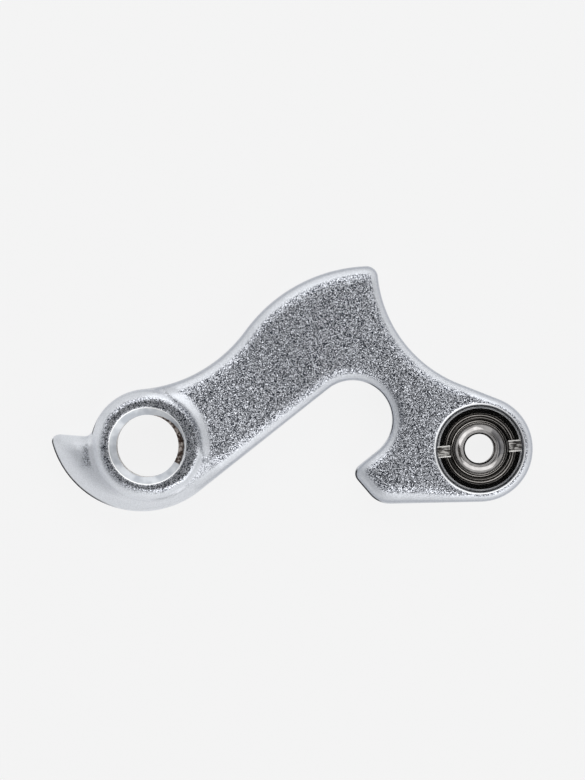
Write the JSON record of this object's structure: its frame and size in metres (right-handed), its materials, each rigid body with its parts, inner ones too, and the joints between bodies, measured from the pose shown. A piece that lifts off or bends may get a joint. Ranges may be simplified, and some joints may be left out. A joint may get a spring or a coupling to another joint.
{
  "type": "bicycle derailleur hanger",
  "caption": "Flat forged arm with a threaded boss and stop tooth at one end, and an axle notch, hook and slotted fixing nut at the other.",
  "frame": {"origin": "axis of the derailleur thread, on the face that lies against the bicycle frame", "axes": "+X from the derailleur thread towards the fixing nut, +Y towards the peak of the arm, +Z outwards from the frame"},
  "size_m": [0.0689, 0.0351, 0.0065],
  "materials": {
    "hanger": "blasted",
    "nut": "turned"
  },
  "bodies": {
    "root": {"hanger": "hanger", "slotted_nut": "nut"}
  },
  "joints": []
}
